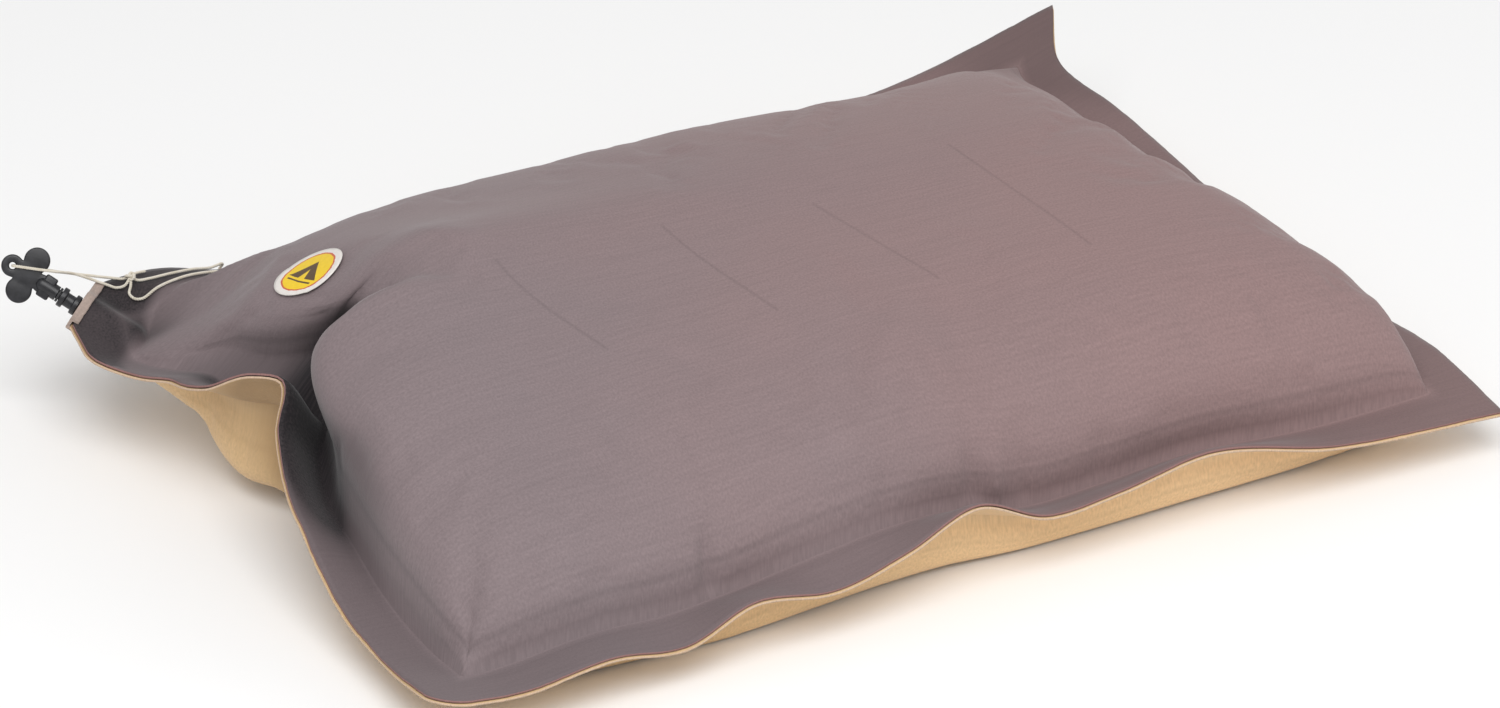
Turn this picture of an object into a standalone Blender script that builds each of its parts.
"""Inflated camping air pillow of rubberised cloth, with a screw-plug valve in one corner.

Metres, +Z up. The pillow lies flat on the plane z = 0, with its long side along X.
Corners are named front_left (-X -Y), front_right (+X -Y), back_right (+X +Y) and
back_left (-X +Y), where the valve is. Two panels are bonded in a flat rim all round
and held together inside by four ties. The plug unscrews along the valve's axis.
"""

import math

import bmesh
import bpy
import numpy as np
from mathutils import Matrix, Vector
from mathutils.bvhtree import BVHTree

# The cloth, as it is cut
CUT_LENGTH = 0.457
CUT_WIDTH = 0.305
PLY = 0.0008
PLY_CLEARANCE = 0.0004
RIM_WIDTH = 0.020
BOTTOM_PROUD = 0.0006
PANEL_CELL_ALONG = 0.0183
PANEL_CELL_ACROSS = 0.0134
ROUNDED_CORNER = 0.014
VALVE_CORNER_CUT = 0.024
VALVE_RIM_WIDTH = 0.026

# How far the air lifts each panel from the seam
TOP_RISE = 0.056
BOTTOM_DROP = 0.046
FLOOR_ROLL = 0.006
END_WALL_POWER = 7
SIDE_WALL_POWER = 2.4
CORNER_SPAN = 0.080

# Ties
TIE_COUNT = 4
TIE_SPACING = 0.149 * CUT_LENGTH
TIE_LENGTH = 0.36 * CUT_WIDTH
TIE_MIDDLE_Y = -0.008
TIE_CLOTH = 0.0006
TIE_FLAP = 0.009
TIE_CLEARANCE = 0.0014
TIE_SECTIONS = 11

# Valve, measured outwards from the binding's face
VALVE_TILT = math.radians(29)
VALVE_ASIDE = 0.0035
TWIST_SPAN = 0.022
STIFF_REACH = 0.064
STIFF_FADE = 0.040
CHANNEL_FADE = 0.015
CHANNEL_SPREAD = 1.6
ROUND_SEGMENTS = 28
NECK_BORE_RADIUS = 0.0022
NECK_TUBE_RADIUS = 0.0030
NECK_WAIST_RADIUS = 0.0027
NECK_RIM_RADIUS = 0.0039
NECK_RIM_THICKNESS = 0.0021
NECK_WAIST_LENGTH = 0.0034
NECK_INSIDE = 0.025
NECK_STANDOFF = 0.0003
BOOT_WALL = 0.0009
BOOT_LENGTH = 0.018
BOOT_SETBACK = 0.0012
BINDING_THICKNESS = 0.0012
BINDING_DEPTH = 0.0040
BINDING_SECTIONS = 17
FIT_CLEARANCE = 0.0003

# Plug
SHANK_RADIUS = 0.0018
SHANK_LENGTH = 0.0060
STEM_RADIUS = 0.0029
STEM_LENGTH = 0.0065
SEAL_THICKNESS = 0.0009
BAR_WIDTH = 0.0090
BAR_LENGTH = 0.0049
BAR_THICKNESS = 0.0040
BAR_FROM_STEM_FOOT = 0.0021
PLATE_THICKNESS = 0.0030
PLATE_WAIST_RADIUS = 0.0048
PLATE_NECK_RADIUS = 0.0036
PLATE_POINTS = 84
SIDE_LOBE_RADIUS = 0.0050
SIDE_LOBE_OFFSET = 0.0065
SIDE_LOBE_FROM_BAR = 0.0060
END_LOBE_RADIUS = 0.0043
END_LOBE_FROM_BAR = 0.0128
EYE_RADIUS = 0.0013
KEY_ANGLE = math.radians(-58)

# Label and string
LABEL_RADIUS = 0.0135
LABEL_THICKNESS = 0.0003
LABEL_CLEARANCE = 0.0009
LABEL_RINGS = 4
LABEL_FROM_CORNER = (0.0555, 0.0835)
STRING_RADIUS = 0.0006
STRING_POINTS = 64
STRING_LIFT = 0.0013
STRING_HOLE_FROM_CORNER = (0.0735, 0.0120)
STRAND_GAP = 1.6 * STRING_RADIUS
RAY_START = 0.020
RIM_HOLE_RADIUS = 0.0022
KNOT_AT = (-0.1935, 0.1455)
KNOT_RADIUS = 0.0021
KNOT_LUMPS = 0.12
KNOT_LIFT = 0.0029

# The rim's line along each side: place from -1 to 1, height, and how far it is drawn in
FRONT_RIM = (
    (-1.00, 0.016, 0.005),
    (-0.70, 0.015, 0.007),
    (-0.42, 0.018, 0.007),
    (-0.18, 0.018, 0.007),
    (0.04, 0.031, 0.010),
    (0.24, 0.023, 0.009),
    (0.55, 0.029, 0.006),
    (1.00, 0.018, 0.000),
)
BACK_RIM = (
    (-1.00, 0.046, 0.002),
    (-0.82, 0.047, 0.003),
    (-0.68, 0.041, 0.005),
    (-0.50, 0.042, 0.007),
    (0.10, 0.045, 0.012),
    (0.65, 0.049, 0.008),
    (1.00, 0.057, 0.000),
)
LEFT_RIM = (
    (-1.00, 0.016, 0.007),
    (-0.60, 0.015, 0.012),
    (-0.25, 0.024, 0.014),
    (0.02, 0.048, 0.020),
    (0.15, 0.063, 0.028),
    (0.33, 0.053, 0.025),
    (0.65, 0.040, 0.015),
    (1.00, 0.046, 0.000),
)
RIGHT_RIM = (
    (-1.00, 0.018, 0.000),
    (-0.50, 0.026, 0.006),
    (0.10, 0.035, 0.017),
    (0.60, 0.042, 0.018),
    (1.00, 0.057, 0.011),
)

# The string's two strands on either side of the knot, at places on the cut cloth
LEAVES_CLOTH_AT = (-0.2030, 0.1500)
# From the key's eye (0) to where the string leaves the cloth (1): how far along the way each point is,
# and how far off the middle of the key's plate, where 1 just clears it
STRANDS_MEET = 0.66
OVER_PLATE = ((0.34, 1.7), (0.14, 1.0), (0.02, 0.9))
UNDER_PLATE = ((0.02, -0.9), (0.14, -1.0), (0.37, -1.0), (0.47, -0.3))
KEY_STRANDS = (
    ((-0.1962, 0.1482), (-0.1985, 0.1500)),
    ((-0.1968, 0.1446), (-0.2005, 0.1455), (-0.2035, 0.1480)),
)
RIM_STRANDS = (
    ((-0.1915, 0.1440), (-0.1875, 0.1425), (-0.1805, 0.1425), (-0.1720, 0.1445), (-0.1640, 0.1480)),
    (
        (-0.1945, 0.1430),
        (-0.1965, 0.1405),
        (-0.1955, 0.1378),
        (-0.1925, 0.1362),
        (-0.1865, 0.1360),
        (-0.1780, 0.1375),
        (-0.1690, 0.1395),
        (-0.1610, 0.1405),
    ),
)

HALF_LENGTH = CUT_LENGTH / 2
HALF_WIDTH = CUT_WIDTH / 2
SEAM_X = HALF_LENGTH - RIM_WIDTH
SEAM_Y = HALF_WIDTH - RIM_WIDTH
DIAGONAL = np.array([-1.0, 1.0]) / math.sqrt(2)
CUT_MIDDLE = np.array([-HALF_LENGTH, HALF_WIDTH]) - DIAGONAL * VALVE_CORNER_CUT / math.sqrt(2)
CUT_HALF_EDGE = VALVE_CORNER_CUT / math.sqrt(2)
ALONG_CUT = np.array([-DIAGONAL[1], DIAGONAL[0]])
VALVE_FOOT = CUT_MIDDLE + ALONG_CUT * VALVE_ASIDE
LABEL_AT = (LABEL_FROM_CORNER[0] - HALF_LENGTH, HALF_WIDTH - LABEL_FROM_CORNER[1])
STRING_HOLE_AT = (STRING_HOLE_FROM_CORNER[0] - HALF_LENGTH, HALF_WIDTH - STRING_HOLE_FROM_CORNER[1])
BOOT_BORE_RADIUS = NECK_TUBE_RADIUS + FIT_CLEARANCE
BOOT_RADIUS = BOOT_BORE_RADIUS + BOOT_WALL
BINDING_INNER_FACE = BOTTOM_PROUD + FIT_CLEARANCE
BINDING_FACE = BINDING_INNER_FACE + BINDING_THICKNESS
NECK_FOOT = BINDING_FACE + NECK_STANDOFF
NECK_END = NECK_FOOT + 2 * NECK_RIM_THICKNESS + NECK_WAIST_LENGTH
STEM_FOOT = NECK_END + SEAL_THICKNESS + 2 * FIT_CLEARANCE
BAR_START = STEM_FOOT + BAR_FROM_STEM_FOOT
BAR_END = BAR_START + BAR_LENGTH


def clear_scene():
    for old in list(bpy.data.objects):
        bpy.data.objects.remove(old, do_unlink=True)


def plain_material(name, colour, roughness):
    material = bpy.data.materials.new(name)
    material.use_nodes = True
    shader = material.node_tree.nodes["Principled BSDF"]
    shader.inputs["Base Color"].default_value = (*colour, 1)
    shader.inputs["Roughness"].default_value = roughness
    shader.inputs["Metallic"].default_value = 0
    return material


def object_from(name, bm, material):
    bmesh.ops.recalc_face_normals(bm, faces=bm.faces[:])
    mesh = bpy.data.meshes.new(name)
    bm.to_mesh(mesh)
    bm.free()
    mesh.shade_smooth()
    mesh.set_sharp_from_angle(angle=math.radians(35))
    if material:
        mesh.materials.append(material)
    made = bpy.data.objects.new(name, mesh)
    bpy.context.scene.collection.objects.link(made)
    return made


def smooth_step(t):
    t = np.clip(t, 0, 1)
    return t * t * (3 - 2 * t)


def along_rim(rim, column, at):
    """One column of a rim table, read anywhere from -1 to 1 on a smooth curve through its rows."""
    table = np.array(rim)
    places = table[:, 0]
    values = table[:, column]
    slopes = np.gradient(values, places)
    at = np.clip(at, -1, 1)
    i = np.clip(np.searchsorted(places, at) - 1, 0, len(places) - 2)
    step = places[i + 1] - places[i]
    t = (at - places[i]) / step
    start = (1 + 2 * t) * (1 - t) ** 2 * values[i] + t * (1 - t) ** 2 * step * slopes[i]
    end = t * t * (3 - 2 * t) * values[i + 1] + t * t * (t - 1) * step * slopes[i + 1]
    return start + end


def past_cut(p, q):
    """How far a place on the cut cloth is outside the valve corner's cut edge; negative inside it."""
    return (p - CUT_MIDDLE[0]) * DIAGONAL[0] + (q - CUT_MIDDLE[1]) * DIAGONAL[1]


def beside_valve(p, q):
    """How far a place on the cut cloth is to the side of the valve's axis."""
    return (p - VALVE_FOOT[0]) * ALONG_CUT[0] + (q - VALVE_FOOT[1]) * ALONG_CUT[1]


def valve_frame():
    """The valve's own frame: X along the cut edge, Y square to the corner's cloth, Z out along its axis."""
    outwards = Vector((*(DIAGONAL * math.cos(VALVE_TILT)), math.sin(VALVE_TILT)))
    sideways = Vector((*ALONG_CUT, 0))
    frame = Matrix((sideways, outwards.cross(sideways), outwards)).transposed().to_4x4()
    frame.translation = (*VALVE_FOOT, BACK_RIM[0][1])
    return frame


def near_valve(p, q):
    """From 1 on the stiff cloth round the valve to 0 well away from it."""
    return smooth_step((STIFF_REACH - np.hypot(past_cut(p, q), beside_valve(p, q))) / STIFF_FADE)


def corner_twist(aside):
    """From -1 to 1 beside the valve: the corner's back edge runs level, and its left edge slopes twice as much."""
    return np.clip(aside * np.abs(aside) / TWIST_SPAN**2, -1, 1)


def lift_from_side(rim, at, first, last, nearness):
    """How far one side's rim lifts the surface above the plane through the corners."""
    straight = first + (last - first) * (1 + at) / 2
    return (along_rim(rim, 1, at) - straight) * nearness**3


def rim_surface(p, q, offset):
    """Where a place on the cut cloth lies, at an offset from the surface that the plies share at the rim."""
    along_x = p / HALF_LENGTH
    along_y = q / HALF_WIDTH
    right = (1 + along_x) / 2
    back = (1 + along_y) / 2
    left = 1 - right
    front = 1 - back
    front_left = FRONT_RIM[0][1]
    front_right = FRONT_RIM[-1][1]
    back_left = BACK_RIM[0][1]
    back_right = BACK_RIM[-1][1]
    z = (
        front * (left * front_left + right * front_right)
        + back * (left * back_left + right * back_right)
        + lift_from_side(FRONT_RIM, along_x, front_left, front_right, front)
        + lift_from_side(BACK_RIM, along_x, back_left, back_right, back)
        + lift_from_side(LEFT_RIM, along_y, front_left, back_left, left)
        + lift_from_side(RIGHT_RIM, along_y, front_right, back_right, right)
    )
    x = p + along_rim(LEFT_RIM, 2, along_y) * left**2 - along_rim(RIGHT_RIM, 2, along_y) * right**2
    y = q + along_rim(FRONT_RIM, 2, along_x) * front**2 - along_rim(BACK_RIM, 2, along_x) * back**2
    stiff = near_valve(p, q)
    lean = stiff * offset * math.sin(VALVE_TILT)
    out = past_cut(p, q)
    level_out = out * math.cos(VALVE_TILT)
    stiff_x = VALVE_FOOT[0] + DIAGONAL[0] * level_out + ALONG_CUT[0] * beside_valve(p, q)
    stiff_y = VALVE_FOOT[1] + DIAGONAL[1] * level_out + ALONG_CUT[1] * beside_valve(p, q)
    stiff_z = back_left + out * math.sin(VALVE_TILT) * (1 + corner_twist(beside_valve(p, q)))
    x = x + stiff * (stiff_x - x) - lean * DIAGONAL[0]
    y = y + stiff * (stiff_y - y) - lean * DIAGONAL[1]
    z = z + stiff * (stiff_z - z) + offset * (1 - stiff + stiff * math.cos(VALVE_TILT))
    return x, y, z


def fullness(p, q):
    """From 0 on the seam to 1 in the middle of the pillow: how far the air parts the panels there."""
    across_x = 1 - np.clip(np.abs(p) / SEAM_X, 0, 1) ** END_WALL_POWER
    across_y = 1 - np.clip(np.abs(q) / SEAM_Y, 0, 1) ** SIDE_WALL_POWER
    from_corner = np.clip((-past_cut(p, q) - VALVE_RIM_WIDTH) / CORNER_SPAN, 0, 1)
    return np.sqrt(across_x * across_y * (1 - (1 - from_corner) ** 2))


def parted_by_boot(aside):
    """How far each ply stands off the rim's surface at the valve's boot, at a distance beside its axis."""
    return (BOOT_RADIUS + 2 * FIT_CLEARANCE) * np.exp(-((aside / (CHANNEL_SPREAD * BOOT_RADIUS)) ** 2))


def valve_channel(p, q):
    """How far each ply stands off the rim's surface, from the cut edge to past the boot's end."""
    near = smooth_step(1 + (past_cut(p, q) + VALVE_RIM_WIDTH) / CHANNEL_FADE)
    return near * parted_by_boot(beside_valve(p, q))


def top_surface(p, q):
    """The top panel's inner face."""
    offset = PLY_CLEARANCE / 2 + np.maximum(TOP_RISE * fullness(p, q), valve_channel(p, q))
    return rim_surface(p, q, offset)


def bottom_surface(p, q):
    """The bottom panel's inner face, flat where the floor holds it up."""
    offset = PLY_CLEARANCE / 2 + np.maximum(BOTTOM_DROP * fullness(p, q), valve_channel(p, q))
    x, y, z = rim_surface(p, q, -offset)
    z = z - PLY
    rolled = (z + FLOOR_ROLL) ** 2 / (4 * FLOOR_ROLL)
    z = np.where(z > FLOOR_ROLL, z, np.where(z < -FLOOR_ROLL, 0, rolled))
    return x, y, z + PLY


def cloth_lines(half, seam, count):
    """Places of the grid's lines across the cloth: closer together beside the seam, where it bends most."""
    inner = seam * np.sin(np.linspace(-math.pi / 2, math.pi / 2, count))
    return np.concatenate([[-half], inner, [half]])


def cut_cloth(proud, across, along):
    """The flat cloth as a grid with its corners cut, still in the plane z = 0."""
    lines_x = cloth_lines(HALF_LENGTH + proud, SEAM_X, across)
    lines_y = cloth_lines(HALF_WIDTH + proud, SEAM_Y, along)
    bm = bmesh.new()
    bmesh.ops.create_grid(bm, x_segments=len(lines_x) - 1, y_segments=len(lines_y) - 1, size=1)
    for vert in bm.verts:
        i = round((vert.co.x + 1) / 2 * (len(lines_x) - 1))
        j = round((vert.co.y + 1) / 2 * (len(lines_y) - 1))
        vert.co = (lines_x[i], lines_y[j], 0)
    middle = Vector((*VALVE_FOOT, 0))
    outwards = Vector((*DIAGONAL, 0))
    sideways = Vector((*ALONG_CUT, 0))

    def cut(at, normal, outer=False, within=None):
        faces = [f for f in bm.faces if within is None or (f.calc_center_median() - middle).length < within]
        edges = {e for f in faces for e in f.edges}
        verts = {v for f in faces for v in f.verts}
        geometry = [*verts, *edges, *faces]
        bmesh.ops.bisect_plane(bm, geom=geometry, plane_co=at, plane_no=normal, clear_outer=outer, dist=1e-5)

    cut(middle + outwards * proud, outwards, outer=True)
    centre = Vector((ROUNDED_CORNER - HALF_LENGTH, ROUNDED_CORNER - HALF_WIDTH, 0))
    for turn in (15, 45, 75):
        away = Vector((-math.cos(math.radians(turn)), -math.sin(math.radians(turn)), 0))
        cut(centre + away * (ROUNDED_CORNER + proud), away, outer=True)
    for back in (VALVE_RIM_WIDTH, VALVE_RIM_WIDTH / 2):
        cut(middle - outwards * back, outwards, within=0.060)
    for aside in (-3.6, -2.8, -2.0, -1.2, -0.6, 0, 0.6, 1.2, 2.0, 2.8, 3.6):
        cut(middle + sideways * aside * BOOT_RADIUS, sideways, within=VALVE_RIM_WIDTH + 0.012)
    return bm


def panel(name, surface, outward, proud, material):
    """One ply of the pillow, shaped by its surface and punched for the string."""
    bm = cut_cloth(proud, across=round(CUT_LENGTH / PANEL_CELL_ALONG), along=round(CUT_WIDTH / PANEL_CELL_ACROSS))
    centre = Vector((*STRING_HOLE_AT, 0))
    around = min(bm.faces, key=lambda f: (f.calc_center_median() - centre).length)
    bmesh.ops.inset_individual(bm, faces=[around], thickness=0.0004, use_even_offset=True)
    for vert in around.verts:
        towards = (vert.co - around.calc_center_median()).normalized()
        vert.co = centre + RIM_HOLE_RADIUS * towards
    bmesh.ops.delete(bm, geom=[around], context="FACES_ONLY")
    for vert in bm.verts:
        vert.co = [float(v) for v in surface(np.float64(vert.co.x), np.float64(vert.co.y))]
    bmesh.ops.triangulate(bm, faces=bm.faces[:])
    made = object_from(name, bm, material)
    if (sum(f.normal.z for f in made.data.polygons) > 0) != (outward > 0):
        made.data.flip_normals()
    thicken = made.modifiers.new("cloth_thickness", "SOLIDIFY")
    thicken.thickness = PLY
    thicken.offset = 1
    thicken.use_even_offset = True
    return made


def tie(name, place_x, material):
    """A Z-folded strip of cloth, its two flaps bonded to the panels and its web standing between them."""
    bm = bmesh.new()
    sections = []
    for place_y in np.linspace(TIE_MIDDLE_Y - TIE_LENGTH / 2, TIE_MIDDLE_Y + TIE_LENGTH / 2, TIE_SECTIONS):
        x, y, head = (float(v) for v in top_surface(place_x, place_y))
        high = head - TIE_CLEARANCE
        flap_high = float(top_surface(place_x + TIE_FLAP, place_y)[2]) - TIE_CLEARANCE
        low = float(bottom_surface(place_x, place_y)[2]) + TIE_CLEARANCE
        flap_low = float(bottom_surface(place_x - TIE_FLAP, place_y)[2]) + TIE_CLEARANCE
        outline = (
            (x - TIE_FLAP, flap_low),
            (x + TIE_CLOTH, low),
            (x + TIE_CLOTH, high - TIE_CLOTH),
            (x + TIE_FLAP, flap_high - TIE_CLOTH),
            (x + TIE_FLAP, flap_high),
            (x, high),
            (x, low + TIE_CLOTH),
            (x - TIE_FLAP, flap_low + TIE_CLOTH),
        )
        sections.append([bm.verts.new((px, y, pz)) for px, pz in outline])
    for one, two in zip(sections, sections[1:]):
        for i in range(len(one)):
            j = (i + 1) % len(one)
            bm.faces.new((one[i], one[j], two[j], two[i]))
    bm.faces.new(sections[0])
    bm.faces.new(sections[-1][::-1])
    bmesh.ops.triangulate(bm, faces=bm.faces[:])
    return object_from(name, bm, material)


def turned(name, profile, segments, material, closed=True):
    """A round piece turned about local Z from (radius, height) points. An open profile starts and ends on Z."""
    bm = bmesh.new()
    verts = [bm.verts.new((radius, 0, height)) for radius, height in profile]
    pairs = list(zip(verts, verts[1:])) + ([(verts[-1], verts[0])] if closed else [])
    edges = [bm.edges.new(pair) for pair in pairs]
    bmesh.ops.spin(
        bm,
        geom=[*verts, *edges],
        cent=(0, 0, 0),
        axis=(0, 0, 1),
        angle=2 * math.pi,
        steps=segments,
        use_merge=True,
    )
    bmesh.ops.remove_doubles(bm, verts=bm.verts[:], dist=1e-6)
    return object_from(name, bm, material)


def as_helper(made):
    made.hide_render = True
    made.display_type = "WIRE"
    return made


def boolean(made, operation, other):
    """Joins or cuts with a hidden helper, which moves with the piece it shapes."""
    other.parent = made
    change = made.modifiers.new(other.name, "BOOLEAN")
    change.operation = operation
    change.object = as_helper(other)
    change.solver = "EXACT"


def flat_piece(name, outline, thickness, material=None):
    """A flat piece in the key's plane: local X is across the key and local Z is along the valve's axis."""
    bm = bmesh.new()
    face = bm.faces.new([bm.verts.new((x, -thickness / 2, z)) for x, z in outline])
    grown = bmesh.ops.extrude_face_region(bm, geom=[face])["geom"]
    verts = [v for v in grown if isinstance(v, bmesh.types.BMVert)]
    bmesh.ops.translate(bm, vec=(0, thickness, 0), verts=verts)
    return object_from(name, bm, material)


def round_outline(radius, along, points=ROUND_SEGMENTS):
    turns = (2 * math.pi * n / points for n in range(points))
    return [(radius * math.cos(turn), along + radius * math.sin(turn)) for turn in turns]


def plate_outline():
    """Two side lobes and an end lobe round the plate's middle: at each turn, the farthest of their edges."""
    middle = BAR_END + SIDE_LOBE_FROM_BAR
    lobes = (
        (-SIDE_LOBE_OFFSET, 0, SIDE_LOBE_RADIUS),
        (SIDE_LOBE_OFFSET, 0, SIDE_LOBE_RADIUS),
        (0, END_LOBE_FROM_BAR - SIDE_LOBE_FROM_BAR, END_LOBE_RADIUS),
        (0, 0, PLATE_WAIST_RADIUS),
        (0, -SIDE_LOBE_FROM_BAR, PLATE_NECK_RADIUS),
    )
    outline = []
    for turn in np.linspace(0, 2 * math.pi, PLATE_POINTS, endpoint=False):
        across = math.cos(turn)
        along = math.sin(turn)
        reach = 0
        for x, z, radius in lobes:
            towards = x * across + z * along
            inside = radius**2 - x**2 - z**2 + towards**2
            if inside > 0:
                reach = max(reach, towards + math.sqrt(inside))
        outline.append((reach * across, middle + reach * along))
    return outline


def block(name, low, high, material=None):
    bm = bmesh.new()
    bmesh.ops.create_cube(bm, size=1)
    for vert in bm.verts:
        vert.co = [a + (b - a) * (c + 0.5) for a, b, c in zip(low, high, vert.co)]
    return object_from(name, bm, material)


def neck(material):
    """The valve's tube: a plain stretch inside the boot, then two rims with a waist between them."""
    second_rim = NECK_FOOT + NECK_RIM_THICKNESS + NECK_WAIST_LENGTH
    profile = (
        (NECK_BORE_RADIUS, -NECK_INSIDE),
        (NECK_TUBE_RADIUS, -NECK_INSIDE),
        (NECK_TUBE_RADIUS, NECK_FOOT),
        (NECK_RIM_RADIUS, NECK_FOOT),
        (NECK_RIM_RADIUS, NECK_FOOT + NECK_RIM_THICKNESS),
        (NECK_WAIST_RADIUS, NECK_FOOT + NECK_RIM_THICKNESS),
        (NECK_WAIST_RADIUS, second_rim),
        (NECK_RIM_RADIUS, second_rim),
        (NECK_RIM_RADIUS, NECK_END),
        (NECK_BORE_RADIUS, NECK_END),
    )
    return turned("valve_neck", profile, ROUND_SEGMENTS, material)


def boot(material):
    profile = (
        (BOOT_BORE_RADIUS, -BOOT_SETBACK - BOOT_LENGTH),
        (BOOT_RADIUS, -BOOT_SETBACK - BOOT_LENGTH),
        (BOOT_RADIUS, -BOOT_SETBACK),
        (BOOT_BORE_RADIUS, -BOOT_SETBACK),
    )
    return turned("valve_boot", profile, ROUND_SEGMENTS, material)


def binding(material):
    """The tape folded over the cut corner, opened into an eye where the plies part round the boot."""
    bm = bmesh.new()
    sections = []
    half_edge = CUT_HALF_EDGE - BINDING_THICKNESS
    for aside in np.linspace(-half_edge, half_edge, BINDING_SECTIONS) - VALVE_ASIDE:
        inner = PLY_CLEARANCE / 2 + float(parted_by_boot(aside)) + PLY + FIT_CLEARANCE
        outer = inner + BINDING_THICKNESS
        slope = math.sin(VALVE_TILT) * math.cos(VALVE_TILT) * float(corner_twist(aside))
        outline = (
            (-BINDING_DEPTH, outer),
            (BINDING_FACE, outer),
            (BINDING_FACE, -outer),
            (-BINDING_DEPTH, -outer),
            (-BINDING_DEPTH, -inner),
            (BINDING_INNER_FACE, -inner),
            (BINDING_INNER_FACE, inner),
            (-BINDING_DEPTH, inner),
        )
        sections.append([bm.verts.new((aside, height + along * slope, along)) for along, height in outline])
    for one, two in zip(sections, sections[1:]):
        for i in range(len(one)):
            j = (i + 1) % len(one)
            bm.faces.new((one[i], one[j], two[j], two[i]))
    bm.faces.new(sections[0])
    bm.faces.new(sections[-1][::-1])
    bmesh.ops.triangulate(bm, faces=bm.faces[:])
    made = object_from("corner_binding", bm, material)
    through = (
        (0, -BINDING_DEPTH / 2),
        (BOOT_BORE_RADIUS, -BINDING_DEPTH / 2),
        (BOOT_BORE_RADIUS, 2 * BINDING_FACE),
        (0, 2 * BINDING_FACE),
    )
    boolean(made, "DIFFERENCE", turned("binding_hole", through, ROUND_SEGMENTS, None, closed=False))
    return made


def seal(material):
    low = NECK_END + FIT_CLEARANCE
    inner = SHANK_RADIUS + FIT_CLEARANCE
    profile = (
        (inner, low),
        (STEM_RADIUS, low),
        (STEM_RADIUS, low + SEAL_THICKNESS),
        (inner, low + SEAL_THICKNESS),
    )
    return turned("plug_seal", profile, ROUND_SEGMENTS, material)


def key(material):
    """The plug: a shank in the neck, a round-ended stem, a bar across it and a three-lobed plate with an eye."""
    dome = [
        (STEM_RADIUS * math.cos(turn), STEM_FOOT + STEM_LENGTH + STEM_RADIUS * math.sin(turn))
        for turn in np.linspace(0, math.pi / 2, 6)[:-1]
    ]
    profile = (
        (0, STEM_FOOT - SHANK_LENGTH),
        (SHANK_RADIUS, STEM_FOOT - SHANK_LENGTH),
        (SHANK_RADIUS, STEM_FOOT),
        (STEM_RADIUS, STEM_FOOT),
        *dome,
        (0, STEM_FOOT + STEM_LENGTH + STEM_RADIUS),
    )
    made = turned("plug_key", profile, ROUND_SEGMENTS, material, closed=False)
    plate = flat_piece("key_plate", plate_outline(), PLATE_THICKNESS)
    bar = block(
        "key_bar",
        (-BAR_WIDTH / 2, -BAR_THICKNESS / 2, BAR_START),
        (BAR_WIDTH / 2, BAR_THICKNESS / 2, BAR_END),
    )
    eye_at = BAR_END + END_LOBE_FROM_BAR
    eye = flat_piece("key_eye", round_outline(EYE_RADIUS, eye_at), 3 * PLATE_THICKNESS)
    for operation, other in (("UNION", plate), ("UNION", bar), ("DIFFERENCE", eye)):
        boolean(made, operation, other)
    return made


def label(material):
    """The round label, lying on the top panel's outer face."""
    bm = bmesh.new()
    rings = [LABEL_RADIUS * n / LABEL_RINGS for n in range(1, LABEL_RINGS + 1)]
    bmesh.ops.create_circle(bm, cap_ends=True, segments=ROUND_SEGMENTS, radius=rings[0])
    for ring in rings[1:]:
        rim = [e for e in bm.edges if e.is_boundary]
        grown = bmesh.ops.extrude_edge_only(bm, edges=rim)["geom"]
        for vert in (v for v in grown if isinstance(v, bmesh.types.BMVert)):
            vert.co = vert.co.normalized() * ring
    bmesh.ops.poke(bm, faces=[f for f in bm.faces if len(f.verts) > 4])
    for vert in bm.verts:
        p = vert.co.x + LABEL_AT[0]
        q = vert.co.y + LABEL_AT[1]
        here = Vector(float(v) for v in top_surface(p, q))
        along_p = Vector(float(v) for v in top_surface(p + 0.001, q)) - here
        along_q = Vector(float(v) for v in top_surface(p, q + 0.001)) - here
        vert.co = here + along_p.cross(along_q).normalized() * (PLY + LABEL_CLEARANCE)
    bmesh.ops.triangulate(bm, faces=bm.faces[:])
    made = object_from("round_label", bm, material)
    if sum(f.normal.z for f in made.data.polygons) < 0:
        made.data.flip_normals()
    thicken = made.modifiers.new("label_thickness", "SOLIDIFY")
    thicken.thickness = LABEL_THICKNESS
    thicken.offset = 1
    return made


def smooth_route(points, count):
    """Evenly numbered points on one smooth curve through the route's own points."""
    route = np.array(points)
    steps = np.linalg.norm(np.diff(route, axis=0), axis=1) ** 0.5
    knots = np.concatenate([[0], np.cumsum(steps)])
    slopes = np.gradient(route, knots, axis=0)
    found = []
    for at in np.linspace(0, knots[-1], count):
        i = min(max(int(np.searchsorted(knots, at)) - 1, 0), len(knots) - 2)
        step = knots[i + 1] - knots[i]
        t = (at - knots[i]) / step
        start = (1 + 2 * t) * (1 - t) ** 2 * route[i] + t * (1 - t) ** 2 * step * slopes[i]
        end = t * t * (3 - 2 * t) * route[i + 1] + t * t * (t - 1) * step * slopes[i + 1]
        found.append(start + end)
    return found


def cloth_tree(panel_made):
    """The panel as it is built, for laying the string on."""
    return BVHTree.FromObject(panel_made, bpy.context.evaluated_depsgraph_get())


def laid_on(cloth, p, q, lift):
    """The point at some height square to the top panel's outer face, over a place on the cut cloth."""
    x, y, z = (float(v) for v in top_surface(p, q))
    hit, normal, _, _ = cloth.ray_cast(Vector((x, y, z + RAY_START)), Vector((0, 0, -1)))
    return hit + normal * lift


def over_binding(cloth, p, q):
    """The string's centre over a place beside the valve, higher where it crosses the binding."""
    near = float(smooth_step((past_cut(p, q) + BINDING_DEPTH + 2 * STRING_LIFT) / STRING_LIFT))
    return laid_on(cloth, p, q, STRING_LIFT + near * (BINDING_THICKNESS + 2 * FIT_CLEARANCE))


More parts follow.
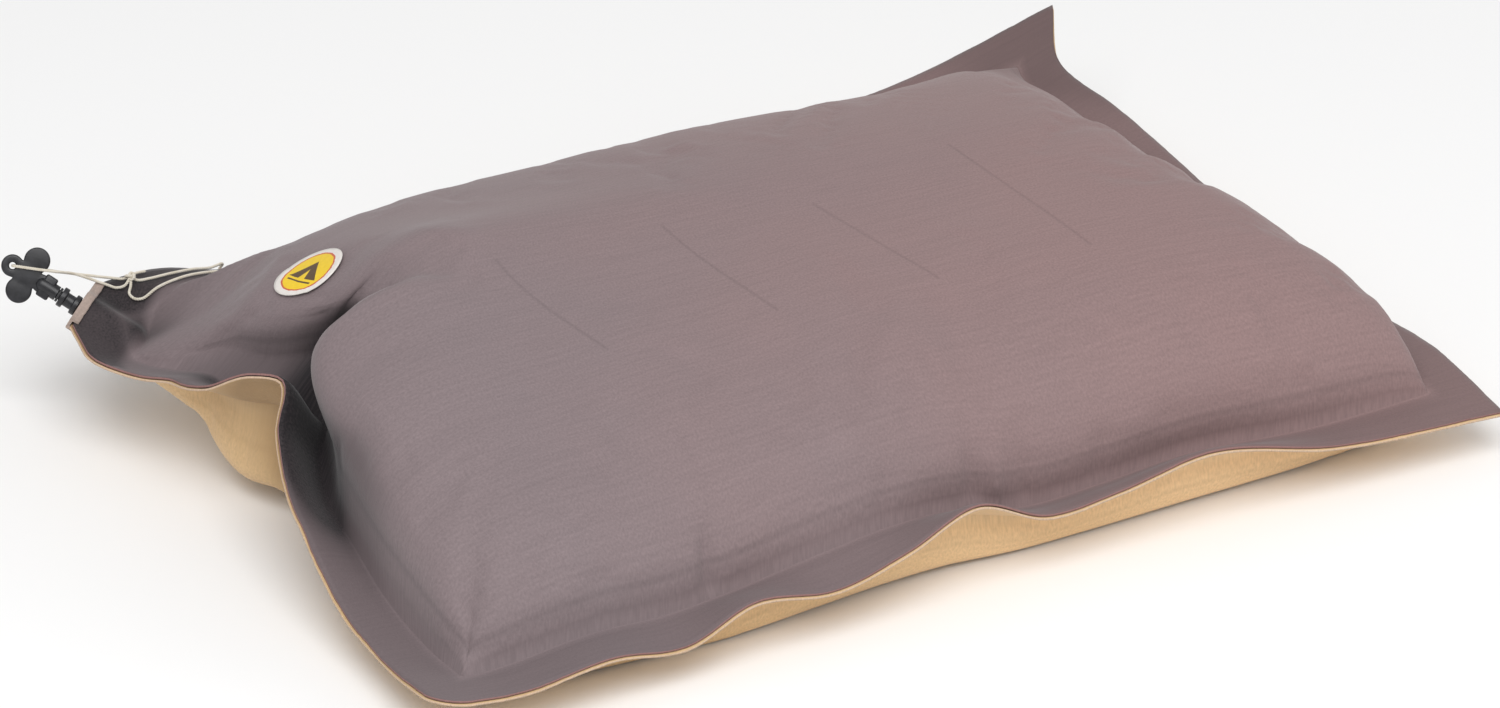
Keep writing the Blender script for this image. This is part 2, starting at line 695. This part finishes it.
def key_loop(cloth, frame):
    """From the knot over the cut corner, through the key's eye and back to the knot."""
    over, under = KEY_STRANDS
    key_frame = frame @ Matrix.Rotation(KEY_ANGLE, 4, "Z")
    eye = Vector((0, 0, BAR_END + END_LOBE_FROM_BAR))
    edge = key_frame.inverted() @ over_binding(cloth, *LEAVES_CLOTH_AT)
    behind = math.copysign(1, edge.y)
    off_plate = PLATE_THICKNESS / 2 + STRING_RADIUS + 2 * FIT_CLEARANCE

    def on_the_way(part, aside):
        place = eye.lerp(edge, part)
        place.y = aside * behind * off_plate
        return key_frame @ place

    def in_the_air(aside):
        place = eye.lerp(edge, STRANDS_MEET)
        place.y += aside * behind
        return key_frame @ place

    return [
        *[over_binding(cloth, p, q) for p, q in over],
        in_the_air(STRAND_GAP),
        *[on_the_way(part, aside) for part, aside in OVER_PLATE],
        key_frame @ eye,
        *[on_the_way(part, aside) for part, aside in UNDER_PLATE],
        in_the_air(-STRAND_GAP),
        *[over_binding(cloth, p, q) for p, q in reversed(under)],
    ]


def rim_loop(cloth):
    """From the knot along the rim, down through the punched hole, round the rim's edge and back to the knot."""
    outer, inner = RIM_STRANDS
    hole = Vector(float(v) for v in rim_surface(*STRING_HOLE_AT, 0))
    edge = Vector(float(v) for v in rim_surface(STRING_HOLE_AT[0], HALF_WIDTH, 0))
    outwards = (edge - hole).normalized()
    square = Vector((1, 0, 0)).cross(outwards).normalized()
    half = PLY + PLY_CLEARANCE / 2 + STRING_LIFT
    return [
        *[laid_on(cloth, p, q, STRING_LIFT) for p, q in inner],
        hole + square * half,
        hole - square * half,
        hole - square * half + (edge - hole) * 0.5,
        edge - square * half,
        edge + outwards * (STRING_LIFT + BOTTOM_PROUD),
        edge + square * (half + STRING_RADIUS),
        *[laid_on(cloth, p, q, STRING_LIFT) for p, q in reversed(outer)],
    ]


def off_knot(knot_at, points):
    """The loop with both ends brought to the knot's surface."""
    stand_off = KNOT_RADIUS * (1 + KNOT_LUMPS) + FIT_CLEARANCE
    first = knot_at + (points[0] - knot_at).normalized() * stand_off
    last = knot_at + (points[-1] - knot_at).normalized() * stand_off
    return [first, *points, last]


def knot(knot_at, material):
    """The overhand knot's lumpy ball."""
    bm = bmesh.new()
    bmesh.ops.create_icosphere(bm, subdivisions=3, radius=KNOT_RADIUS)
    for vert in bm.verts:
        turn = math.atan2(vert.co.y, vert.co.x)
        rise = vert.co.z / KNOT_RADIUS
        vert.co *= 1 + KNOT_LUMPS * math.sin(3 * turn + 4 * rise)
    made = object_from("string_knot", bm, material)
    made.location = knot_at
    return made


def cord(name, points, material):
    curve = bpy.data.curves.new(name, "CURVE")
    curve.dimensions = "3D"
    curve.bevel_depth = STRING_RADIUS
    curve.bevel_resolution = 2
    curve.use_fill_caps = True
    spline = curve.splines.new("POLY")
    route = smooth_route(points, STRING_POINTS)
    spline.points.add(len(route) - 1)
    for point, place in zip(spline.points, route):
        point.co = (*place, 1)
    curve.materials.append(material)
    made = bpy.data.objects.new(name, curve)
    bpy.context.scene.collection.objects.link(made)
    return made


def main():
    clear_scene()
    grey = plain_material("grey_cloth", (0.25, 0.20, 0.21), 0.75)
    tan = plain_material("tan_cloth", (0.60, 0.42, 0.24), 0.75)
    rubber = plain_material("black_rubber", (0.03, 0.03, 0.03), 0.8)
    plastic = plain_material("black_plastic", (0.01, 0.01, 0.012), 0.3)
    cotton = plain_material("white_cotton", (0.85, 0.82, 0.74), 0.9)
    paper = plain_material("label_film", (0.95, 0.75, 0.02), 0.4)
    top = panel("top_panel", top_surface, 1, 0.0, grey)
    panel("bottom_panel", bottom_surface, -1, BOTTOM_PROUD, tan)
    for n in range(TIE_COUNT):
        tie(f"tie_{n + 1}", (n - (TIE_COUNT - 1) / 2) * TIE_SPACING, tan)
    frame = valve_frame()
    for piece in (neck(plastic), boot(rubber), binding(tan), seal(rubber)):
        piece.matrix_world = frame
    key(plastic).matrix_world = frame @ Matrix.Rotation(KEY_ANGLE, 4, "Z")
    label(paper)
    bpy.context.view_layer.update()
    cloth = cloth_tree(top)
    knot_at = laid_on(cloth, *KNOT_AT, KNOT_LIFT)
    knot(knot_at, cotton)
    cord("string_to_key", off_knot(knot_at, key_loop(cloth, frame)), cotton)
    cord("string_to_rim", off_knot(knot_at, rim_loop(cloth)), cotton)


main()
